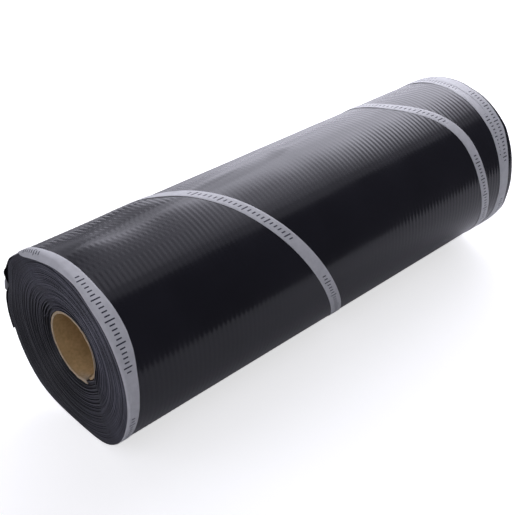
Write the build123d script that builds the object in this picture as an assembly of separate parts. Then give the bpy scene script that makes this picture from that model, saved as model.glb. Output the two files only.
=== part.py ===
"""A roll of damp proof course: plastic sheet wound on a card tube and bound with one tape.

The roll lies along X with its axis through the origin, and Z points up. Angles about the axis are in degrees,
from the back (+Y) over the top (+Z), so the top is at 90, the front at 180 and the underside at 270.
"""
import os
from math import cos, pi, radians, sin, sqrt

from build123d import *

# The sheet, as it is cut and sold
sheet_width = 450.0
sheet_length = 30000.0
sheet_gauge = 0.5
lap_air = 0.05
tail_angle = -17.0

# The card tube
core_bore = 52.6
core_wall = 2.0
core_inset = 5.0
winding_gap = 0.15

# The ends: bands of turns stand in from the end by these shares of the deepest set-back, from the core outwards
end_setback = 5.0
near_setback_shares = (1.00, 0.84, 0.76, 0.62, 0.52, 0.56, 0.40, 0.30, 0.34, 0.18, 0.10, 0.00)
far_setback_shares = (0.42, 0.28, 0.36, 0.20, 0.30, 0.12, 0.24, 0.06, 0.18, 0.26, 0.10, 0.00)

# The tape
tape_width = 11.0
tape_thickness = 0.2
tape_seat = 0.12
near_margin = 0.5
far_margin = 4.0
far_wrap_shift = 6.0
tape_bend_radius = 100.0

# Where the tape bends, as an angle run up from the near end, and how far along its run from end to end it is there
tape_start_angle = -460.0
tape_leaves_ring = -84.0
tape_bend_angles = (200.0, 430.0, 481.0)
tape_bend_shares = (0.478, 0.791, 0.890)
tape_joins_ring = 640.0
tape_shifts_from, tape_shifts_to = 1000.0, 1060.0
tape_end_angle = 1380.0

# How far round the tape stays on its own turns before it clears them, and the angle over which it climbs a step
clear_angle = 40.0
climb_angle = 10.0
tape_stations_per_turn = 60
tape_stations_per_stretch = 15

full_turn = 360.0
quarter_turn = 90.0
end_x = sheet_width / 2
lap_pitch = sheet_gauge + lap_air
core_radius = core_bore / 2 + core_wall
wound_radius = core_radius + winding_gap
roll_radius = sqrt(wound_radius**2 + sheet_length * lap_pitch / pi)


def on_circle(angle, radius):
    """The Y and Z of a point at an angle about the axis."""
    return radius * cos(radians(angle)), radius * sin(radians(angle))


def sheet_radius(angle):
    """The outer lap's radius: it falls by one lap in a turn, and steps back up at the sheet's free edge."""
    past_edge_share = ((tail_angle - angle) % full_turn) / full_turn
    return roll_radius - lap_pitch * (1 - past_edge_share)


def end_steps(setback_shares, side):
    """Corners of one end's half-section, from the core outwards: one ledge for each band of turns."""
    band = (roll_radius + lap_pitch - wound_radius) / len(setback_shares)
    corners = []
    for index, setback_share in enumerate(setback_shares):
        ledge_x = side * (end_x - end_setback * setback_share)
        corners.append((ledge_x, wound_radius + band * index))
        corners.append((ledge_x, wound_radius + band * (index + 1)))
    return corners


def make_sheet_roll():
    """A turned solid with stepped ends, trimmed to the spiral of the outer lap with its free edge."""
    corners = end_steps(near_setback_shares, -1) + end_steps(far_setback_shares, 1)[::-1]
    half_section = make_face(Polyline(*corners, close=True))
    turned = revolve(half_section, Axis.X)
    arcs = []
    for start in (0.0, quarter_turn, 2 * quarter_turn, 3 * quarter_turn):
        fall = [start, start + quarter_turn / 2, start + quarter_turn]
        radii = [roll_radius - lap_pitch * (1 - angle / full_turn) for angle in fall]
        points = [on_circle(tail_angle - angle, radius) for angle, radius in zip(fall, radii)]
        arcs.append(ThreePointArc(*points))
    free_edge = Line(arcs[-1] @ 1, arcs[0] @ 0)
    section = Plane.YZ * make_face(arcs + [free_edge])
    return turned & extrude(section, amount=end_x, both=True)


def make_core_tube():
    """The plain card tube, a little shorter than the sheet is wide."""
    ring = Plane.YZ * (Circle(core_radius) - Circle(core_bore / 2))
    return extrude(ring, amount=end_x - core_inset, both=True)


def climb(angle, start):
    """A ramp from 0 to 1 over the climb angle that ends at start."""
    share = min(max((angle - start) / climb_angle + 1, 0), 1)
    return share * share * (3 - 2 * share)


def tape_bed(angle):
    """The radius that the tape lies on: the sheet with its edge bridged, and the tape's own turns below it."""
    short_of_edge = (tail_angle - angle) % full_turn
    bridged = roll_radius - lap_pitch * min(short_of_edge / climb_angle, 1)
    laid_over = climb(angle, tape_start_angle + full_turn - climb_angle)
    laid_over -= climb(angle, tape_leaves_ring + clear_angle + climb_angle)
    laid_over += climb(angle, tape_joins_ring + full_turn - clear_angle)
    return max(sheet_radius(angle), bridged) + tape_seat + laid_over * (tape_thickness + tape_seat)


def tape_route():
    """The tape's middle line drawn flat: how far round the roll against how far along it, with bends rounded."""
    near_x = near_margin + tape_width / 2 - end_x
    far_x = end_x - far_margin - far_wrap_shift - tape_width / 2
    run = far_x - near_x
    corners = [(tape_start_angle, near_x), (tape_leaves_ring, near_x)]
    for angle, share in zip(tape_bend_angles, tape_bend_shares):
        corners.append((angle, near_x + run * share))
    corners += [(tape_joins_ring, far_x), (tape_shifts_from, far_x)]
    corners += [(tape_shifts_to, far_x + far_wrap_shift), (tape_end_angle, far_x + far_wrap_shift)]
    return FilletPolyline(*[(radians(angle) * roll_radius, x) for angle, x in corners], radius=tape_bend_radius)


def tape_edge(side, layer):
    """One long edge of the tape, under or on top, as a chain of smooth stretches between its stations."""
    route = tape_route()
    count = round((tape_end_angle - tape_start_angle) / full_turn * tape_stations_per_turn)
    points = []
    for station in range(count + 1):
        flat = route @ (station / count)
        slope = route % (station / count)
        angle = flat.X / roll_radius * full_turn / (2 * pi)
        y, z = on_circle(angle, tape_bed(angle) + layer * tape_thickness)
        points.append(Vector(flat.Y + side * tape_width / 2 / slope.X, y, z))
    stretches = []
    for first in range(0, count, tape_stations_per_stretch):
        last = min(first + tape_stations_per_stretch, count)
        headings = [points[min(at + 1, count)] - points[max(at - 1, 0)] for at in (first, last)]
        stretches.append(Spline(*points[first : last + 1], tangents=headings).edge())
    return stretches


def make_binding_tape():
    """A strip wound on the roll: ruled faces between its four long edges, closed by its two cut ends."""
    around = [tape_edge(-1, 0), tape_edge(1, 0), tape_edge(1, 1), tape_edge(-1, 1)]
    faces = []
    for edge, following in zip(around, around[1:] + around[:1]):
        for stretch, opposite in zip(edge, following):
            faces.append(Face.make_surface_from_curves(stretch, opposite))
    for corners in ([edge[0] @ 0 for edge in around], [edge[-1] @ 1 for edge in around]):
        faces.append(make_face(Polyline(*corners, close=True)).face())
    return Solid(Shell(faces))


os.makedirs("parts", exist_ok=True)
nodes = {
    "sheet_roll": make_sheet_roll(),
    "core_tube": make_core_tube(),
    "binding_tape": make_binding_tape(),
}
for name, shape in nodes.items():
    export_step(shape, f"parts/{name}.step")
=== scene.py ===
# %% [markdown]
# # A roll of damp proof course
#
# Damp proof course is a long strip of black plastic that is built into a wall to keep moisture down. It is sold
# wound on a card tube and bound with a printed tape. This lesson dresses the plain model of such a roll: the strip
# with its fine ribs and the edges of its turns, the torn card tube, and the tape that winds along the roll.
#
# The roll lies along X. Angles go round it in degrees, from the back (+Y) over the top (+Z), so the top is at 90,
# the front at 180 and the underside at 270. Lengths are in metres, and written in millimetres with `mm`.

import bpy
import numpy as np
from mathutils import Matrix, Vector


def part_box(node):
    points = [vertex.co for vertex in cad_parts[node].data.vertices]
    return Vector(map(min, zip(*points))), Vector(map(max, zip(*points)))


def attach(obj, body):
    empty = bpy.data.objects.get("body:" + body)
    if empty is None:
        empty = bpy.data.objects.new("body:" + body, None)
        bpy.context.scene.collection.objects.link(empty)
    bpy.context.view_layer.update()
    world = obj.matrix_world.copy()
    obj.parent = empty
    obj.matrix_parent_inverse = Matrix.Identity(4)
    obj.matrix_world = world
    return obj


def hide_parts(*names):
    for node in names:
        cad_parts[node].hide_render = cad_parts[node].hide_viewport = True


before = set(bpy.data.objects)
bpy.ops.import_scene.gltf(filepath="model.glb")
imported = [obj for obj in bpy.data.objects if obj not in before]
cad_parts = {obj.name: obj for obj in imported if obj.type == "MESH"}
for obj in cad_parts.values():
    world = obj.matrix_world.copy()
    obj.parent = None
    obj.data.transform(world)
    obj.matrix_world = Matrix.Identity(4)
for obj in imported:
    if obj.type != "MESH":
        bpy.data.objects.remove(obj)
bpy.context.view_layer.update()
mm = 0.001

# %% [markdown]
# ## The winding
#
# The strip starts on the tube and ends at its free edge, and each turn lies one pitch further out than the turn
# before: its thickness and a little air. That makes a spiral. All the pieces below use the same spiral, counted
# back from the free edge, so they can't drift apart.

# %% The winding's sizes
roll_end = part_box("sheet_roll")[1].x
tube_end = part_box("core_tube")[1].x
tube_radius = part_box("core_tube")[1].z
sheet_gauge = 0.5 * mm
lap_pitch = 0.55 * mm
winding_gap = 0.15 * mm
first_radius = tube_radius + winding_gap
outer_radius = 77.86 * mm
free_edge = -17.0
turns = (outer_radius - first_radius) / lap_pitch
print(f"{turns:.1f} turns from {first_radius / mm:.2f} to {outer_radius / mm:.2f} mm")

# %% [markdown]
# ## The two edges
#
# A strip never winds quite square. At the end that faces us the edge stands in under the roll, where the outer turns
# lie back like a bevel, and stands out at the back. At the far end it waves by a few millimetres over the top and down
# the front. Each shift is a broken line of places in millimetres against angles, averaged over a short window so that
# it has no corners. The turns, the outer lap and the tape all use these two lines, so their edges stay together.

# %% The edges' shifts
near_line = np.array([
    (-180, 0.0), (-150, -0.4), (-133, -0.6), (-121, 0.2), (-112, 1.9), (-101, 3.3), (-90, 3.7), (-80, 3.0),
    (-70, 1.4), (-60, -0.5), (-48, -1.5), (-25, -1.6), (-10, -1.2), (5, 0.0), (180, 0.0),
]).T
far_line = np.array([
    (-180, -1.5), (-172, -1.4), (-165, -0.4), (-159, 2.6), (-153, 3.4), (-140, 1.5), (-110, 0.0), (0, 0.0),
    (40, 0.6), (66, 2.6), (98, 2.6), (104, 1.2), (110, 2.9), (134, 3.2), (141, 3.8), (147, 2.0), (153, 1.2),
    (160, 0.1), (170, -1.4), (180, -1.5),
]).T
near_window, far_window, window_steps = 8, 3, 9
edge_reach = 45 * mm


def smooth(low, high, value):
    """0 below low, 1 above high, and an S-shaped rise between them."""
    share = np.clip((value - low) / (high - low), 0, 1)
    return share * share * (3 - 2 * share)


def angle_from(angle, middle):
    """How far an angle lies from a middle angle, the short way round, from -180 to 180."""
    return (angle - middle + 180) % 360 - 180


def averaged(angle, line, reach):
    """A line of places in millimetres against angles, averaged over the reach on both sides of an angle."""
    window = np.linspace(-reach, reach, window_steps)
    around = angle_from(np.asarray(angle)[..., None] + window, 0)
    return np.interp(around, *line).mean(axis=-1) * mm


def near_shift(angle):
    """How far along the roll the near edge is moved at an angle."""
    return averaged(angle, near_line, near_window)


def far_shift(angle):
    """How far along the roll the far edge is moved at an angle."""
    return averaged(angle, far_line, far_window)


def shifted(x, angle):
    """A place along the roll, moved with the nearest edge: fully at the edge, and not at all past the edge's reach."""
    near = near_shift(angle) * (1 - smooth(0, edge_reach, x + roll_end))
    far = far_shift(angle) * (1 - smooth(0, edge_reach, roll_end - x))
    return x + near + far


eighths = np.arange(-180, 180, 45)
print("near edge's shift in mm:", np.round(near_shift(eighths) / mm, 1).tolist())
print("far edge's shift in mm:", np.round(far_shift(eighths) / mm, 1).tolist())

# %% [markdown]
# ## Putting a grid of points into a mesh
#
# Every piece here is a profile carried along a path. Its points form a grid: one row for each place on the path, and
# one column for each point of the profile. Four neighbours make a face. The profile closes on itself, and one
# flat face shuts each end of the path, so each piece is a closed solid. `foreach_set` copies whole arrays at once,
# which is far quicker than adding vertices one by one.

# %% From grid to piece


def about_axis(x, angle, radius):
    """Points at a place along the axis, an angle in degrees and a radius: (x, r cos a, r sin a)."""
    turned = np.radians(angle)
    return np.stack(np.broadcast_arrays(x, radius * np.cos(turned), radius * np.sin(turned)), axis=-1)


def carried(name, points, uv, node, sharp=50):
    """A closed piece from a grid (rows along a path, columns round a profile), with a UV value at each point.

    Face (i, j) joins points (i, j), (i, j+1), (i+1, j+1) and (i+1, j); the last column joins the first again. Edges
    where the faces meet at more than the sharp angle are not smoothed over.
    """
    rows, columns = points.shape[:2]
    index = np.arange(rows * columns).reshape(rows, columns)
    after = np.roll(index, -1, axis=1)
    quads = np.stack([index[:-1], after[:-1], after[1:], index[1:]], axis=-1).reshape(-1, 4)
    corners = np.concatenate([quads.ravel(), index[0, ::-1], index[-1]])
    starts = np.concatenate([np.arange(len(quads)) * 4, [quads.size, quads.size + columns]])
    mesh = bpy.data.meshes.new(name)
    mesh.vertices.add(rows * columns)
    mesh.vertices.foreach_set("co", points.astype(np.float32).ravel())
    mesh.loops.add(len(corners))
    mesh.loops.foreach_set("vertex_index", corners.astype(np.int32))
    mesh.polygons.add(len(starts))
    mesh.polygons.foreach_set("loop_start", starts.astype(np.int32))
    mesh.update(calc_edges=True)
    layer = mesh.uv_layers.new(name="UVMap")
    layer.data.foreach_set("uv", uv.reshape(-1, 2)[corners].astype(np.float32).ravel())
    mesh.polygons.foreach_set("use_smooth", np.ones(len(starts), bool))
    mesh.set_sharp_from_angle(angle=np.radians(sharp))
    piece = bpy.data.objects.new(name, mesh)
    bpy.context.scene.collection.objects.link(piece)
    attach(piece, "root")
    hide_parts(node)
    triangles = 2 * len(quads) + 2 * (columns - 2)
    print(f"{name}: {rows} rows, {columns} columns, {triangles} triangles")
    return piece


# %% [markdown]
# ## The turns' edges
#
# On the real roll the two ends show the cut edges of some ninety turns. Rings drawn in a material would look flat,
# so the strip itself is wound here. Its edges aren't quite flush: towards the tube the turns lie deeper in the near
# end, and bands of turns stand in or out by a fraction of a millimetre. Loose winding comes in groups of about five
# turns, deepest near the tube and round the split.

# %% How deep the turns' edges lie
near_dish, near_dish_power = 6.4, 1.6
far_dish, far_dish_power = 1.6, 0.8
group_turns = 5.2
bevel_from = 0.7
noise_values = 4096


def soft_noise(seed, places, spacing):
    """Smooth noise from -1 to 1: random values at even spacing, joined by S-shaped steps."""
    values = np.random.default_rng(seed).uniform(-1, 1, noise_values)
    at = np.asarray(places) / spacing
    whole = np.floor(at).astype(int)
    share = smooth(0, 1, at - whole)
    return values[whole % noise_values] * (1 - share) + values[(whole + 1) % noise_values] * share


def spot(angle, middle, reach):
    """A rounded bell: 1 at the middle angle, and falling away on both sides over the reach."""
    return np.exp(-((angle_from(angle, middle) / reach) ** 2))


def near_inset(turn, angle):
    """How deep a turn's near edge lies: a dish towards the tube, loose groups of turns, and fine bands.

    In each group the edges slope inwards like a saw's tooth, and the next group starts with a step. The steps are
    deep near the tube, where the winding is loose, and round the split.
    """
    share = turn / turns
    dish = near_dish * (1 - share) ** near_dish_power
    counted = turn + 1.6 * soft_noise(6, turn, 5.0) + 0.5 * soft_noise(9, angle, 40.0)
    tooth = (counted / group_turns) % 1 - 0.5
    loose_sides = 0.3 + 2.6 * spot(angle, 45, 50) + 1.8 * spot(angle, 198, 40)
    by_tube = np.exp(-((share / 0.3) ** 2)) * loose_sides
    by_split = np.exp(-((share / 0.62) ** 2)) * 1.1 * spot(angle, 222, 24)
    calmer = 1 - 0.5 * smooth(0.45, 0.8, share)
    bands = (0.45 * soft_noise(1, turn, 2.6) + 0.3 * soft_noise(2, turn, 0.9)) * calmer
    fade = 1 - 0.8 * smooth(0.86, 1.0, share)
    depth = dish + ((by_tube + by_split + 0.25) * tooth + bands) * fade
    return np.maximum(depth, 0) * mm + near_shift(angle) * smooth(bevel_from, 1.0, share)


def far_inset(turn, angle):
    """How deep a turn's far edge lies: a shallow dish, and bands of its own."""
    share = turn / turns
    bands = 0.5 * soft_noise(4, turn, 3.1) + 0.3 * soft_noise(5, turn, 1.1)
    fade = 1 - smooth(0.9, 1.0, share)
    depth = np.maximum(far_dish * (1 - share) ** far_dish_power + bands * fade, 0) * mm
    return depth - far_shift(angle) * smooth(bevel_from, 1.0, share)


sampled_turns = np.linspace(0, turns, 6)
print("near edges' depth over the top in mm:", np.round(near_inset(sampled_turns, 90.0) / mm, 1).tolist())

# %% [markdown]
# ## What presses the turns out of round
#
# The tube is split, and the lip of the split pushes the first turns out to a point, which fades as it goes outwards.
# At the back, by the free edge, the outer lap has come loose at the end that faces us. It stands off in two bulges
# with a pinch between them, and the turns under it fan out too. One table gives both by angle, in millimetres: the
# height of the lap, and the lower height of the outermost turns.

# %% The split's ridge and the loose edge
split_angle = 231.0
ridge_angle, ridge_drift, ridge_drift_turns = 212, 18, 55
ridge_height, ridge_width, ridge_fade = 2.6 * mm, 11, 30 * mm
fanned_turns = 24
loose_angles, lap_heights, turn_heights = np.array([
    (-17, 3.0, 0.0), (-11, 4.1, 1.6), (-7, 4.7, 2.2), (-3, 4.8, 2.6), (2, 4.8, 2.2), (7, 3.2, 1.0),
    (10, 0.8, -0.6), (13, -0.9, -1.3), (15, -0.8, -1.3), (17, 3.6, -1.0), (19, 6.0, -0.6), (21, 6.3, -0.2),
    (26, 4.2, 1.0), (31, 3.8, 2.7), (36, 3.5, 2.8), (41, 1.6, 1.2), (47, 0.0, 0.0),
]).T


def split_push(turn, angle):
    """How far the tube's split pushes a turn outwards: a pointed ridge at the split that fades outwards."""
    away = np.abs(angle_from(angle, ridge_angle + ridge_drift * smooth(0, ridge_drift_turns, turn)))
    return ridge_height * np.exp(-away / ridge_width) * np.exp(-turn * lap_pitch / ridge_fade)


def fanned(turn, angle):
    """How far a turn's near edge follows the loose lap: the outermost turns alone, more and more outwards."""
    loose = np.interp(angle_from(angle, 0), loose_angles, turn_heights, left=0.0, right=0.0)
    return loose * mm * smooth(turns - fanned_turns, turns - 1, turn)


print(f"ridge {ridge_height / mm:.1f} mm, loose lap from {lap_heights.min()} to {lap_heights.max()} mm")

# %% [markdown]
# ## The turns
#
# The strip is a thin section with rounded corners, carried along the spiral from the tube out to the outer lap. Its
# section has four points at each edge, and a pair of points a little way in from the near one. At that pair the
# turns lie tight again: the fan of the loose edge has ended there, and nearly all of the split's ridge is left.

# %% The turns
lap_start = 361.0
turn_rows = 6400
wound_back = np.linspace(turns * 360, lap_start, turn_rows)
turn = turns - wound_back / 360
angle = (free_edge + wound_back) % 360
radius = first_radius + lap_pitch * turn - lap_pitch / 2
section = np.array([-0.5, -0.3, 0.3, 0.5]) * sheet_gauge
rounding = np.array([0.14, 0.0, 0.0, 0.14]) * mm
tight_x, ridge_left = 20 * mm - roll_end, 0.95
ridge = split_push(turn, angle)
near_x = -roll_end + near_inset(turn, angle)[:, None] + rounding
near_r = (radius + ridge + fanned(turn, angle))[:, None] + section
tight_r = (radius + ridge_left * ridge)[:, None] + section[[0, -1]]
far_x = roll_end - far_inset(turn, angle)[:, None] - rounding
far_r = radius[:, None] + section
near_edge = about_axis(near_x, angle[:, None], near_r)
tight = about_axis(tight_x, angle[:, None], tight_r)
far_edge = about_axis(far_x, angle[:, None], far_r)
strip = np.concatenate([near_edge, tight[:, 1:], far_edge[:, ::-1], tight[:, :1]], axis=1)
turns_round = (free_edge + wound_back) / 360
strip_uv = np.stack([turn, turns_round], axis=-1)[:, None] + np.zeros((1, strip.shape[1], 1))
wound_turns = carried("wound_turns", strip, strip_uv, "sheet_roll")

# %% [markdown]
# ## The outer lap's shape
#
# The last lap is what the eye meets. It lies slack over the top, so it is slightly uneven there and has a few low
# swellings. A black sheet mirrors its surroundings, and these bend the reflections. By its free edge it is lifted by
# the table above: the bulges die away along the roll, and the pinch between them sooner.

# %% The outer lap's shape
bulge_reach, pinch_reach = 16, 6
slow_step, slow_height = 55 * mm, 0.26
quick_step, quick_height = 26 * mm, 0.13
slack_angle, slack_reach, slack_power, least_slack = 80, 70, 0.8, 0.35
swellings = [(86, 68, 1.7, 20, 11), (106, 88, 1.0, 24, 10), (24, 91, 2.5, 25, 12), (231, 76, 0.6, 13, 15)]
field_columns = 64


def soft_field(seed, along, angle, step, cells):
    """Smooth noise from -1 to 1 on the roll's skin: random values on a grid that closes after one turn.

    The grid has one column for each step along the roll and a whole number of cells round it; between its
    values the field follows S-shaped steps both ways.
    """
    values = np.random.default_rng(seed).uniform(-1, 1, (field_columns, cells))
    at, turned = np.broadcast_arrays(along / step + field_columns // 2, (angle % 360) / 360 * cells)
    column, row = np.floor(at).astype(int), np.floor(turned).astype(int)
    s, t = smooth(0, 1, at - column), smooth(0, 1, turned - row)
    here, beyond = column % field_columns, (column + 1) % field_columns
    low = values[here, row % cells] * (1 - s) + values[beyond, row % cells] * s
    high = values[here, (row + 1) % cells] * (1 - s) + values[beyond, (row + 1) % cells] * s
    return low * (1 - t) + high * t


def lap_lift(back, x, heights):
    """How far the loose lap stands off, from heights in millimetres at the loose angles.

    A height is divided by 1 + (distance from the near end / reach) squared, with one reach for bulges and a shorter
    one for the pinch.
    """
    loose = np.interp(free_edge + back, loose_angles, heights, right=0.0) * mm
    from_end = (x + roll_end) / mm
    raised = np.maximum(loose, 0) / (1 + (from_end / bulge_reach) ** 2)
    return raised + np.minimum(loose, 0) / (1 + (from_end / pinch_reach) ** 2)


def swollen(x, angle):
    """The low swellings, in millimetres: rounded spots given by place, angle, height, length and width."""
    from_end = (x + roll_end) / mm
    total = 0.0
    for place, middle, height, long, wide in swellings:
        total = total + height * np.exp(-(((from_end - place) / long) ** 2)) * spot(angle, middle, wide)
    return total


def slack(angle):
    """How slack the lap lies: 1 at the slack angle, and by a cosine to a power down to the least slack at the reach."""
    away = np.clip(np.abs(angle_from(angle, slack_angle)) / slack_reach, 0, 1)
    return least_slack + (1 - least_slack) * np.cos(away * np.pi / 2) ** slack_power


def lap_radius(back, x, heights=lap_heights):
    """The radius of the lap's outer face: the spiral, its lift, slow unevenness and the swellings."""
    spiral = outer_radius - lap_pitch * back / 360
    angle = free_edge + back
    uneven = slow_height * soft_field(7, x, angle, slow_step, 9)
    uneven = uneven + quick_height * soft_field(8, x, angle, quick_step, 18)
    return spiral + lap_lift(back, x, heights) + (uneven * slack(angle) + swollen(x, angle)) * mm


over_top = lap_radius(90 - free_edge, np.linspace(-roll_end, roll_end, 7)) / mm
print("lap's radius along the top in mm:", np.round(over_top, 1).tolist())

# %% [markdown]
# ## The ribs
#
# Fine ribs run round the strip, a few millimetres apart, and they break up every reflection. A bump map would do for a
# picture, but real ribs also change the outline and go into any export, so the lap gets six points to each rib. They
# are pressed flatter in some places than in others: a table gives how much of their height is left, with one row
# for each angle and one column for each place along the roll.

# %% The ribs' height
rib_pitch = 4.4 * mm
rib_height = 0.26 * mm
rib_run_out = 3 * mm
dash_pitch = 8.0 * mm
dash_share = 0.8
rib_places = [0, 54, 95, 112, 150, 216, 270, 300, 350, 450]
rib_table = {
    70: [1.2, 1.6, 1.2, 0.2, 0.08, 0.12, 0.3, 0.5, 0.6, 1.1],
    90: [0.5, 0.6, 0.3, 0.09, 0.04, 0.06, 0.14, 0.4, 0.5, 1.1],
    112: [0.5, 0.5, 0.5, 0.4, 0.12, 0.2, 0.3, 0.7, 1.0, 1.25],
    130: [0.3, 0.3, 0.4, 0.4, 0.1, 0.1, 0.1, 0.05, 0.05, 0.3],
    155: [0.6, 0.5, 0.5, 0.4, 0.1, 0.06, 0.08, 0.4, 0.2, 0.4],
    165: [0.75, 0.5, 0.4, 0.3, 0.1, 0.08, 0.15, 0.65, 0.4, 0.7],
    190: [0.13, 0.08, 0.08, 0.08, 0.05, 0.05, 0.12, 0.05, 0.15, 0.3],
    230: [0.5] * len(rib_places),
}


def rib_kept(x, angle):
    """How much of the ribs' height is left: straight steps between the table's places and angles."""
    from_end = (x + roll_end) / mm
    by_angle = np.array([np.interp(from_end, rib_places, shares) for shares in rib_table.values()])
    at = np.interp(angle[:, 0], list(rib_table), np.arange(len(rib_table)))
    row = np.minimum(at.astype(int), len(rib_table) - 2)
    part = (at - row)[:, None]
    return by_angle[row] * (1 - part) + by_angle[row + 1] * part


def rib(x, angle):
    """The ribs' height: one cosine wave in each pitch, pressed flatter in places, and flat at both ends.

    On the top near the end that faces us a slower wave round the roll breaks the ribs up into staggered dashes.
    """
    on_top = smooth(64, 78, angle) * (1 - smooth(105, 122, angle))
    dashed = dash_share * on_top * (1 - smooth(90 * mm, 110 * mm, x + roll_end))
    round_roll = np.radians(angle) * outer_radius
    crossing = 1 - dashed + dashed * np.cos(2 * np.pi * round_roll / dash_pitch)
    wave = 0.5 - 0.5 * np.cos(2 * np.pi * (x + roll_end) / rib_pitch) * crossing
    return rib_height * wave * rib_kept(x, angle) * smooth(0, rib_run_out, roll_end - np.abs(x))


rib_count = round(2 * roll_end / rib_pitch)
print(f"{rib_count} ribs, {rib_pitch / mm:.1f} mm apart and {rib_height / mm:.2f} mm high")

# %% [markdown]
# ## The outer lap
#
# The lap's profile runs along its outer face, rib by rib, and back along its plain inner face. It is carried round the
# roll from the free edge to where the turns begin. The rows lie close together on the top, where the dashes are, and
# further apart underneath. Its UV map is in metres, about, round the roll and along it.

# %% The outer lap
points_per_rib, inner_points = 6, 9
inner_lift = 0.02 * mm
round_length = 0.48
row_spans = [(0, 66, 33), (66, 140, 56), (140, 232, 30), (232, lap_start, 21)]
outer_x = np.linspace(roll_end, -roll_end, rib_count * points_per_rib + 1)[1:-1]
inner_x = np.linspace(-roll_end, roll_end, inner_points)
lap_rows = [np.linspace(start, stop, count, endpoint=False) for start, stop, count in row_spans]
lap_back = np.concatenate(lap_rows + [[lap_start]])[:, None]
lap_angle = free_edge + lap_back
outer_face = lap_radius(lap_back, outer_x) + rib(outer_x, lap_angle)
inner_face = lap_radius(lap_back, inner_x) - sheet_gauge + inner_lift
lap_x = np.concatenate([outer_x, inner_x])[None, :]
lap_r = np.concatenate([outer_face, inner_face], axis=1)
lap_grid = about_axis(shifted(lap_x, lap_angle), lap_angle, lap_r)
lap_uv = np.stack(np.broadcast_arrays(lap_back / 360 * round_length, lap_x), axis=-1)
outer_lap = carried("outer_lap", lap_grid[:, ::-1], lap_uv[:, ::-1], "sheet_roll")

# %% [markdown]
# ## The card tube
#
# The tube is plain card, wound from strips, and its near end has split and frayed: on one side of the split the
# plies have opened and lean outwards. The profile here is the tube's wall in section, carried round the axis from
# one side of the split to the other, so that the two sides can part near the end.

# %% The card tube
tube_wall = 2.0 * mm
tube_bore = tube_radius - tube_wall
tube_round = 0.17
depth = np.array([0, 0.6, 2, 5, 9, 14, 22, 40, 90, 160, 240, 330, 440]) * mm
seam_turn, seam_depth = 1.5, 22
rim_inset, still_depth = 0.8, 400 * mm


def dying(reach):
    """How much is left at each depth of what dies away over a reach in millimetres: exp(-depth / reach)."""
    return np.exp(-depth / (reach * mm))


def tube_wall_faces(away):
    """The wall's places, angles and radii at angles past the split, in rows, from the near rim to the far one.

    The split follows the seam of the wound strips, so it turns a little with each millimetre. Past it the wall flares
    outwards and opens; short of it the wall is tucked in. Both die away within a few millimetres of depth, and so
    does the fray of the rim. The near end leans to the front. The far rim, past the still depth, stays in its place.
    """
    past, short = np.exp(-away / 26)[:, None], np.exp(-(360 - away) / 16)[:, None]
    flare, tuck = past * dying(7), short * dying(6)
    lean = 0.75 * np.cos(np.radians(split_angle + away - 180))[:, None] * dying(60)
    fray = 0.2 * soft_noise(11, away, 7.0)[:, None] * dying(1.5)
    lip = (0.5 * past - 0.8 * short) * dying(5)
    x = -tube_end + depth + (rim_inset - lip - fray) * mm * (depth < still_depth)
    opened = 9.0 * past**3 * dying(10)
    angle = (split_angle + away)[:, None] + seam_turn * np.minimum(depth / mm, seam_depth) + opened
    inner = tube_bore + (0.4 * flare - 0.5 * tuck + lean) * mm
    outer = tube_radius + (2.3 * flare - 0.9 * tuck + lean) * mm
    return x, angle, inner, outer


away = np.concatenate([np.linspace(0.4, 40, 30), np.linspace(40, 359.6, 120)[1:]])
wall_x, wall_angle, wall_in, wall_out = tube_wall_faces(away)
tube_x = np.concatenate([wall_x[:, ::-1], wall_x], axis=1)
tube_angle = np.concatenate([wall_angle[:, ::-1], wall_angle], axis=1)
tube_grid = about_axis(tube_x, tube_angle, np.concatenate([wall_in[:, ::-1], wall_out], axis=1))
tube_uv = np.stack([tube_angle / 360 * tube_round, tube_x], axis=-1)
card_tube = carried("card_tube", tube_grid, tube_uv, "core_tube", sharp=40)

# %% [markdown]
# ## The tape's route
#
# One narrow plastic tape binds the roll. It goes once round the near end, climbs along the roll in slanting turns, and
# goes twice round the far end. Drawn flat, its middle line is a row of straight stretches with rounded bends, so the
# place along the roll is a broken line against the angle, averaged over a short window. The ring at the near end was
# wound on less neatly: its two edges wander, and over the top and down the front it laps over the rim. A table gives
# both edges, in millimetres from the near end, by angle from the top.

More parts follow.
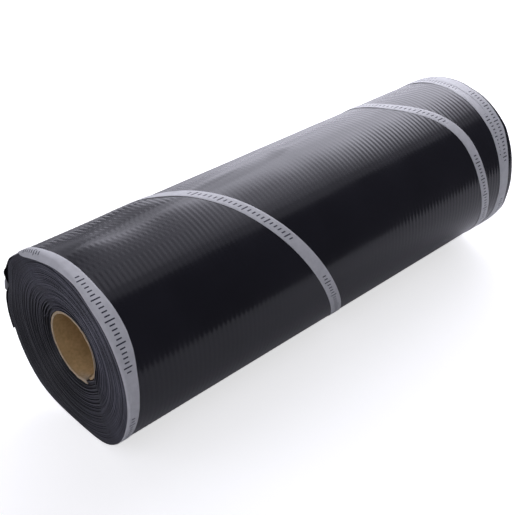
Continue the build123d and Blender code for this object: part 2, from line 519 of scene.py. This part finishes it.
# %% The tape's route
tape_width = 11.0 * mm
tape_thickness = 0.2 * mm
tape_window, tape_window_steps = 18, 25
tape_start, tape_end, tape_step = free_edge - 442, 1380, 2.0
tape_bends = np.array([
    (-460, 6.0), (-84, 6.0), (44, 85.5), (98, 137.7), (146, 173.3), (215, 220.7), (400, 354.6), (436, 348.5),
    (450, 358.4), (482, 392.1), (502, 396.0), (534, 402.6), (566, 419.1), (640, 433.5), (885, 433.5), (908, 437.0),
    (940, 436.0), (1000, 433.5), (1060, 438.2), (1150, 441.2), (1214, 441.2), (1236, 437.5), (1254, 436.0),
    (1284, 441.0), (1320, 439.0), (1380, 438.2),
]).T
ring_top = 90
ring_angles, ring_inner, ring_outer = np.array([
    (-180, 0.5, 11.5), (-110, 2.5, 13.5), (-90, 2.5, 13.5), (-84, 1.6, 12.6), (-81, -0.6, 10.4), (-75, -0.6, 10.4),
    (-72, 1.6, 12.6), (-62, 2.5, 13.5), (-46, 3.0, 10.0), (-42, 2.0, 8.5), (-38, -0.6, 7.0), (-34, -3.4, 5.8),
    (-28, -5.3, 4.8), (-22, -5.9, 4.6), (-16, -6.1, 4.5), (-10, -6.0, 4.7), (-4, -5.5, 5.4), (2, -4.6, 6.4),
    (8, -3.6, 7.9), (14, -2.6, 9.3), (20, -1.8, 10.0), (26, -1.9, 10.8), (32, -2.4, 11.6), (38, -2.4, 12.6),
    (44, -2.0, 13.2), (53, -1.8, 13.5), (63, -1.9, 12.5), (76, -1.9, 9.8), (92, -2.0, 8.1), (110, -1.8, 7.2),
    (122, -0.8, 7.2), (135, 0.4, 8.0), (150, 0.5, 9.0),
]).T


def tape_middle(angle):
    """The tape's place along the roll: the broken line of its bends, averaged over a window."""
    window = np.linspace(-tape_window, tape_window, tape_window_steps)
    return np.interp(angle[:, None] + window, *tape_bends).mean(axis=1) * mm - roll_end


def ring_edges(angle):
    """The near ring's two edges, measured from the near end: broken lines of places, by angle from the top."""
    around = angle_from(angle, ring_top)
    return np.interp(around, ring_angles, ring_inner) * mm, np.interp(around, ring_angles, ring_outer) * mm


tape_angle = np.arange(tape_start, tape_end, tape_step)
tape_x = tape_middle(tape_angle)
tape_slope = np.gradient(tape_x, np.radians(tape_angle) * outer_radius)
tape_length = np.radians(tape_end - tape_start) * outer_radius
print(f"tape about {tape_length:.2f} m long round the roll, from {tape_x[0]:.3f} to {tape_x[-1]:.3f} m along it")

# %% [markdown]
# ## The tape
#
# The tape lies on the lap's ribs, and on its own earlier turn where it is doubled. Its rows stand at the same angles as
# the lap's rows at the back, so the loose lap can't poke through it. It is stretched, so it bridges the pinch between
# the two bulges instead of following it. What overhangs the rim bends inwards over it, except at the pinch.

# %% The tape
spread = np.array([-0.5, -0.46, -0.3, -0.1, 0.1, 0.3, 0.46, 0.5]) * tape_width
crown = np.array([0, 1, 1, 1, 1, 1, 1, 0])
spread_under = spread[[-1, 3, 0]]
sunk = np.full(3, -0.3)
tape_air, doubled_rise = 0.05 * mm, 0.25 * mm
bridge_angle, bridge_reach, bridge_height = 12, 6, 2.9
bridged = np.abs(loose_angles - bridge_angle) < bridge_reach
tape_heights = np.where(bridged, np.maximum(lap_heights, bridge_height), lap_heights)
ring_left, run_reached = -130, -90
rib_share, loose_rib_share = 0.75, 0.6
loose_middle, loose_inside, loose_outside = 30, 45, 60
pinch_angle, pinch_width = 13, 8
bend_down, bend_short = 0.8, 0.4


def laid_over(angle):
    """1 where the tape lies on its own earlier turn, and 0 where it lies on the sheet."""
    near = smooth(-120, -100, angle) - smooth(-50, -34, angle)
    return near + smooth(950, 975, angle)


def tape_points(spread, layer):
    """Points on the tape: its middle moved across, on top of the lap, with what overhangs the end bent inwards.

    Each millimetre of overhang drops by the bend down and reaches out by 1 less the bend short, but straight out at
    the pinch. The tape lies a share of the ribs' height above the lap, and more round the loose part.
    """
    around = tape_angle[:, None]
    inner, outer = [edge[:, None] for edge in ring_edges(tape_angle)]
    on_ring = 1 - smooth(ring_left, run_reached, around)
    free = tape_x[:, None] + spread * np.sqrt(1 + tape_slope[:, None] ** 2)
    ring = (inner + outer) / 2 - roll_end + spread * (outer - inner) / tape_width
    x = free * (1 - on_ring) + ring * on_ring
    on_sheet = np.clip(x, -roll_end, roll_end)
    by_loose = 1 - smooth(loose_inside, loose_outside, np.abs(angle_from(around, loose_middle)))
    bed = lap_radius((around - free_edge) % 360, on_sheet, tape_heights)
    bed = bed + rib_height * (rib_share + loose_rib_share * by_loose) + tape_air + doubled_rise * laid_over(around)
    overhang = np.maximum(-roll_end - x, 0)
    bent = 1 - spot(around, pinch_angle, pinch_width)
    radius = bed + layer * tape_thickness - bend_down * bent * overhang
    return about_axis(shifted(on_sheet, around) - (1 - bend_short * bent) * overhang, around, radius)


tape_grid = np.concatenate([tape_points(spread, crown), tape_points(spread_under, sunk)], axis=1)
along_tape = (np.radians(tape_angle) * outer_radius)[:, None]
tape_uv = np.stack(np.broadcast_arrays(along_tape, np.concatenate([spread, spread_under])), axis=-1)
binding = carried("tape_strip", tape_grid, tape_uv, "binding_tape")

# %% [markdown]
# ## Writing shaders as sums
#
# A material's pattern is mostly arithmetic: a noise times an amount, a mask from a distance. Node by node that is
# long to write and hard to read, so a small class stands for a socket and turns each operator into one Math node.

# %% A socket that can be added and multiplied


class Wire:
    """One output socket of a node tree; arithmetic on it adds Math nodes."""

    def __init__(self, tree, socket):
        self.tree, self.socket = tree, socket

    def node(self, kind, settings=None, out=0, **sockets):
        """Adds a node: its settings first, then the values or links of its sockets, by name or by number as _0."""
        made = self.tree.nodes.new(kind)
        for key, value in (settings or {}).items():
            setattr(made, key, value)
        for key, value in sockets.items():
            plug = made.inputs[int(key[1:])] if key[0] == "_" else made.inputs[key.replace("_", " ")]
            if isinstance(value, Wire):
                self.tree.links.new(value.socket, plug)
            else:
                plug.default_value = value
        return Wire(self.tree, made.outputs[out])

    def math(self, operation, *values):
        """Adds a Math node that takes this value first, and then the other values."""
        plugs = {f"_{number}": value for number, value in enumerate((self, *values))}
        return self.node("ShaderNodeMath", {"operation": operation}, **plugs)

    def __add__(self, other):
        return self.math("ADD", other)

    def __sub__(self, other):
        return self.math("SUBTRACT", other)

    def __rsub__(self, other):
        return self.node("ShaderNodeMath", {"operation": "SUBTRACT"}, _0=other, _1=self)

    def __mul__(self, other):
        return self.math("MULTIPLY", other)

    def __truediv__(self, other):
        return self.math("DIVIDE", other)

    def __mod__(self, other):
        return self.math("FLOORED_MODULO", other)

    def __lt__(self, other):
        return self.math("LESS_THAN", other)

    __radd__ = __add__
    __rmul__ = __mul__

    def part(self, axis):
        """One of the three numbers of a vector: 0, 1 or 2."""
        return self.node("ShaderNodeSeparateXYZ", out=axis, _0=self)

    def mix(self, low, high):
        """A colour between two colours, by this value."""
        return self.node("ShaderNodeMix", {"data_type": "RGBA"}, out=2, _0=self, _6=low, _7=high)

    def ramp(self, low, high):
        """This value stretched so that low becomes 0 and high becomes 1, and held there."""
        return self.node("ShaderNodeMapRange", {"clamp": True}, Value=self, From_Min=low, From_Max=high)


def new_finish(name):
    """A new material; gives it, its shader, and a wire to start from."""
    material = bpy.data.materials.new(name)
    material.use_nodes = True
    shader = material.node_tree.nodes["Principled BSDF"]
    return material, shader, Wire(material.node_tree, shader.outputs[0])


def feed(wire, socket):
    """Links a wire to a shader's socket."""
    wire.tree.links.new(wire.socket, socket)


def grey(value, blue=0.0):
    """A grey, with its blue raised by a share."""
    return (value, value, value * (1 + blue), 1)


# Two outputs of the Texture Coordinate node, by number: the place on the piece, and the way its surface faces.
object_place, object_normal = 3, 1

# %% [markdown]
# ## The black sheet
#
# The sheet is black polythene: a dark colour with an even, fairly sharp gloss. Handling leaves faint dull patches and
# dust, so the roughness changes slowly over the surface.

# %% The sheet's finish
sheet, shader, start = new_finish("black_polythene")
where = start.node("ShaderNodeTexCoord", out=object_place)
cloud = start.node("ShaderNodeTexNoise", Vector=where, Scale=22.0, Detail=3.0)
grain = start.node("ShaderNodeTexNoise", Vector=where, Scale=900.0, Detail=2.0)
dull = cloud.ramp(0.35, 0.75)
feed(dull.mix((0.0085, 0.0083, 0.0127, 1), (0.0130, 0.0126, 0.0185, 1)), shader.inputs["Base Color"])
feed(0.14 + dull * 0.06 + grain * 0.04, shader.inputs["Roughness"])
feed(start.node("ShaderNodeBump", Height=grain, Strength=0.05, Distance=0.2 * mm), shader.inputs["Normal"])
outer_lap.data.materials.append(sheet)
print("finish", sheet.name)

# %% [markdown]
# ## The cut edges
#
# Where the strip was cut its edge is duller and a little greyer than its face, and each turn differs slightly. Painted
# light and shade make the edges paler on one side of the end and darker on the other. The UV map gives the number of
# the turn and the place round it. Under the roll the outermost turns lie in the shade of the outer lap and look black.

# %% The cut edges' finish
edges, shader, start = new_finish("cut_edges")
# the place round the end, as a share of a turn, where the painted light on the cut edges is strongest
least_shaded_round = 0.36
shade_start, shade_full = turns - 4.5, turns - 2.5
uv = start.node("ShaderNodeUVMap", {"uv_map": "UVMap"})
turn_number, round_roll = uv.part(0), uv.part(1) % 1.0
by_turn = start.node("ShaderNodeTexNoise", {"noise_dimensions": "1D"}, W=turn_number, Scale=0.9, Detail=3.0)
where = start.node("ShaderNodeTexCoord", out=object_place)
blotch = start.node("ShaderNodeTexNoise", Vector=where, Scale=60.0, Detail=4.0)
streaks = (by_turn * 0.6 + blotch * 0.4).ramp(0.3, 0.7)
facing = start.node("ShaderNodeTexCoord", out=object_normal).part(0)
cut = facing.math("ABSOLUTE").ramp(0.45, 0.85)
# painted light and shade: the cut edges paler on one side of the end and darker on the other
painted_side_shade = 0.5 + 0.5 * ((round_roll - least_shaded_round) * (2 * np.pi)).math("COSINE")
edge_tone = (streaks * painted_side_shade).mix(grey(0.022, 0.25), grey(0.27, 0.25))
in_shade = turn_number.ramp(shade_start, shade_full) * round_roll.ramp(0.62, 0.67) * round_roll.ramp(0.93, 0.88)
feed((cut * (1 - in_shade)).mix(grey(0.005, 0.4), edge_tone), shader.inputs["Base Color"])
feed(0.42 + blotch * 0.2, shader.inputs["Roughness"])
wound_turns.data.materials.append(edges)
print("finish", edges.name)

# %% [markdown]
# ## The card
#
# The tube is wound from brown paper, so its tone changes in fine fibres and slow clouds. Its cut end and the torn plies
# past the split show paler fibres.

# %% The card's finish
card, shader, start = new_finish("brown_card")
where = start.node("ShaderNodeTexCoord", out=object_place)
along_tube = where.part(0)
round_tube = start.node("ShaderNodeUVMap", {"uv_map": "UVMap"}).part(0)
fibre = start.node("ShaderNodeTexNoise", Vector=where, Scale=420.0, Detail=5.0)
cloud = start.node("ShaderNodeTexNoise", Vector=where, Scale=45.0, Detail=3.0)
card_tone = (fibre * 0.45 + cloud * 0.55).ramp(0.3, 0.72)
brown = card_tone.mix((0.45, 0.305, 0.132, 1), (0.77, 0.545, 0.275, 1))
at_rim = along_tube.math("ABSOLUTE").ramp(tube_end - 1.6 * mm, tube_end - 0.3 * mm)
rim_tone = fibre.ramp(0.3, 0.7).mix((0.44, 0.36, 0.25, 1), (0.68, 0.59, 0.46, 1))
past_split = (round_tube * (360 / tube_round) - split_angle).ramp(46.0, 6.0)
torn = past_split * (along_tube + tube_end).ramp(8.5 * mm, 3.5 * mm)
feed(at_rim.math("MAXIMUM", torn).mix(brown, rim_tone), shader.inputs["Base Color"])
shader.inputs["Roughness"].default_value = 0.85
shader.inputs["Specular IOR Level"].default_value = 0.25
feed(start.node("ShaderNodeBump", Height=fibre, Strength=0.25, Distance=0.4 * mm), shader.inputs["Normal"])
card_tube.data.materials.append(card)
print("finish", card.name)

# %% [markdown]
# ## The tape's finish
#
# The tape is pale grey plastic, slightly shiny. Its print is a plain row of dark ticks with gaps between groups, as on
# any marked tape. The tape's UV map gives the place along the tape and across it, so the ticks follow its run.

# %% The tape's finish
tape, shader, start = new_finish("grey_tape")
tick_pitch, tick_thick = 3.4 * mm, 1.0 * mm
tick_reach, long_tick_extra, ticks_to_long = 1.6 * mm, 1.3 * mm, 5
group_pitch, group_length = 115 * mm, 78 * mm
ink = (0.03, 0.03, 0.05, 1)
uv = start.node("ShaderNodeUVMap", {"uv_map": "UVMap"})
along, across = uv.part(0), uv.part(1)
where = start.node("ShaderNodeTexCoord", out=object_place)
mottle = start.node("ShaderNodeTexNoise", Vector=where, Scale=180.0, Detail=4.0)
tape_tone = mottle.ramp(0.3, 0.7).mix((0.61, 0.615, 0.62, 1), (0.705, 0.71, 0.715, 1))
tick_number = (along / tick_pitch).math("FLOOR")
reach = ((tick_number % ticks_to_long) < 0.5) * long_tick_extra + tick_reach
tick = ((along % tick_pitch) < tick_thick) * (across.math("ABSOLUTE") < reach)
printed = tick * ((along % group_pitch) < group_length)
feed(printed.mix(tape_tone, ink), shader.inputs["Base Color"])
feed(0.3 + mottle * 0.15, shader.inputs["Roughness"])
shader.inputs["Specular IOR Level"].default_value = 0.3
binding.data.materials.append(tape)
print("finish", tape.name)

# %% [markdown]
# ## The floor
#
# The roll lies on white paper that ends a little way in front of it. Black plastic has hardly any colour of its own:
# the eye sees what it mirrors. So shade is painted into the paper's colour: a little darker in front, and dark behind
# the near half, where the roll mirrors an unlit part of the room. To the camera it all looks white, by a glow that only
# the camera's own rays see: full where the paper is dark or far off, and less near the roll, so that its soft shadow
# stays.

# %% The floor
floor_height = -outer_radius - 0.6 * mm
floor_front, floor_back, floor_left, floor_right = -0.39, 5, -3, 4
near_glow = 0.65
floor_corners = [
    (floor_left, floor_front, floor_height), (floor_right, floor_front, floor_height),
    (floor_right, floor_back, floor_height), (floor_left, floor_back, floor_height),
]
floor_mesh = bpy.data.meshes.new("floor")
floor_mesh.from_pydata(floor_corners, [], [(0, 1, 2, 3)])
floor = bpy.data.objects.new("floor", floor_mesh)
bpy.context.scene.collection.objects.link(floor)
paper, shader, start = new_finish("white_paper")
where = start.node("ShaderNodeTexCoord", out=object_place)
along_floor, across_floor = where.part(0), where.part(1)
# painted shade: the paper's colour is dark behind the near half, where the room is unlit, and a little darker in front
unlit = across_floor.ramp(0.1, 0.25) * along_floor.ramp(0.34, -0.02)
painted_front_shade = across_floor.ramp(0.0, -0.08)
feed(unlit.mix(painted_front_shade.mix(grey(0.9), grey(0.74)), grey(0.3)), shader.inputs["Base Color"])
shader.inputs["Roughness"].default_value = 0.9
shader.inputs["Specular IOR Level"].default_value = 0.1
shader.inputs["Emission Strength"].default_value = 1.0
looked_at = start.node("ShaderNodeLightPath")
far_off = start.node("ShaderNodeVectorMath", {"operation": "LENGTH"}, out=1, _0=where).ramp(0.5, 1.0)
glow = looked_at * (near_glow + unlit.math("MAXIMUM", far_off) * (1 - near_glow))
feed(glow.mix(grey(0.0), grey(1.0)), shader.inputs["Emission Color"])
floor.data.materials.append(paper)
print("finish", paper.name, f"at {floor_height / mm:.1f} mm")

# %% [markdown]
# ## The lights
#
# A large soft panel stands behind the roll to the right, with a low one beneath it and a third overhead: the top of
# the roll mirrors them, brightest towards the far end. A faint one behind lights the rest of the top. One panel in
# front and one on the left light the tape, the near end and the card. Each panel is a few nested lamps, so that its
# mirrored edge is soft.

# %% The lights
lamp_tint = (0.89, 0.885, 1.0)
layer_gap = 0.01


def soft_panel(name, place, aim, width, height, glow, shares=(0.7, 1.0, 1.3)):
    """A rectangular light turned towards a point: nested lamps, so that its glow fades towards its edges."""
    direction = np.array(aim) - np.array(place)
    pitch = np.arctan2(np.hypot(direction[0], direction[1]), -direction[2])
    for number, share in enumerate(shares):
        lamp = bpy.data.lights.new(f"{name}_{number}", "AREA")
        lamp.shape, lamp.size, lamp.size_y = "RECTANGLE", width * share, height * share
        lamp.energy = 4 * glow / len(shares) * lamp.size * lamp.size_y
        lamp.color = lamp_tint
        panel = bpy.data.objects.new(lamp.name, lamp)
        panel.location = np.array(place) + direction / np.linalg.norm(direction) * layer_gap * number
        panel.rotation_euler = (pitch, 0, np.arctan2(-direction[0], direction[1]))
        bpy.context.scene.collection.objects.link(panel)


soft_panel("back_panel", (1.41, 0.80, 0.95), (0, 0, 0), 1.56, 1.0, 2.4)
soft_panel("low_panel", (1.60, 0.98, 0.20), (0, 0, 0), 2.1, 0.7, 1.25, (0.85, 1.0, 1.15))
soft_panel("top_panel", (1.36, 0.45, 1.4), (1.36, 0.451, 0), 1.57, 1.24, 1.38, (0.55, 0.9, 1.3, 1.8))
soft_panel("back_wall", (0.3, 1.9, 0.94), (0, 0, 0), 2.0, 1.5, 0.5)
soft_panel("front_panel", (-0.8, -1.1, 1.55), (0, 0, 0), 1.2, 1.2, 1.35)
soft_panel("side_panel", (-1.7, 0.7, 0.8), (-0.2, 0, 0), 1.0, 0.9, 1.5)
print("lamps", len(bpy.data.lights))

# %% [markdown]
# ## The room
#
# The room around the studio is dim, and the front of the roll mirrors it as a dark band. The camera sees white there.

# %% The room
world = bpy.data.worlds.new("dim_room")
bpy.context.scene.world = world
world.use_nodes = True
room = world.node_tree.nodes["Background"]
start = Wire(world.node_tree, room.outputs[0])
seen = start.node("ShaderNodeLightPath")
feed(seen.mix((0.101, 0.100, 0.119, 1), grey(1.0)), room.inputs["Color"])
print("world", world.name)

# %% [markdown]
# ## The camera
#
# The camera looks down on the near end from the front left, and close enough for the far end to look clearly smaller.

# %% The camera
look_down, look_right = 33.8767, 43.1351
camera = bpy.data.cameras.new("camera")
camera.lens, camera.sensor_width = 63.803, 36.0
eye = bpy.data.objects.new("camera", camera)
eye.location = (-0.47331, -0.46839, 0.42376)
eye.rotation_euler = (np.radians(90 - look_down), 0, np.radians(-look_right))
bpy.context.scene.collection.objects.link(eye)
bpy.context.scene.camera = eye
bpy.context.scene.view_settings.view_transform = "Standard"
print(f"camera {np.linalg.norm(eye.location):.2f} m away, lens {camera.lens} mm")
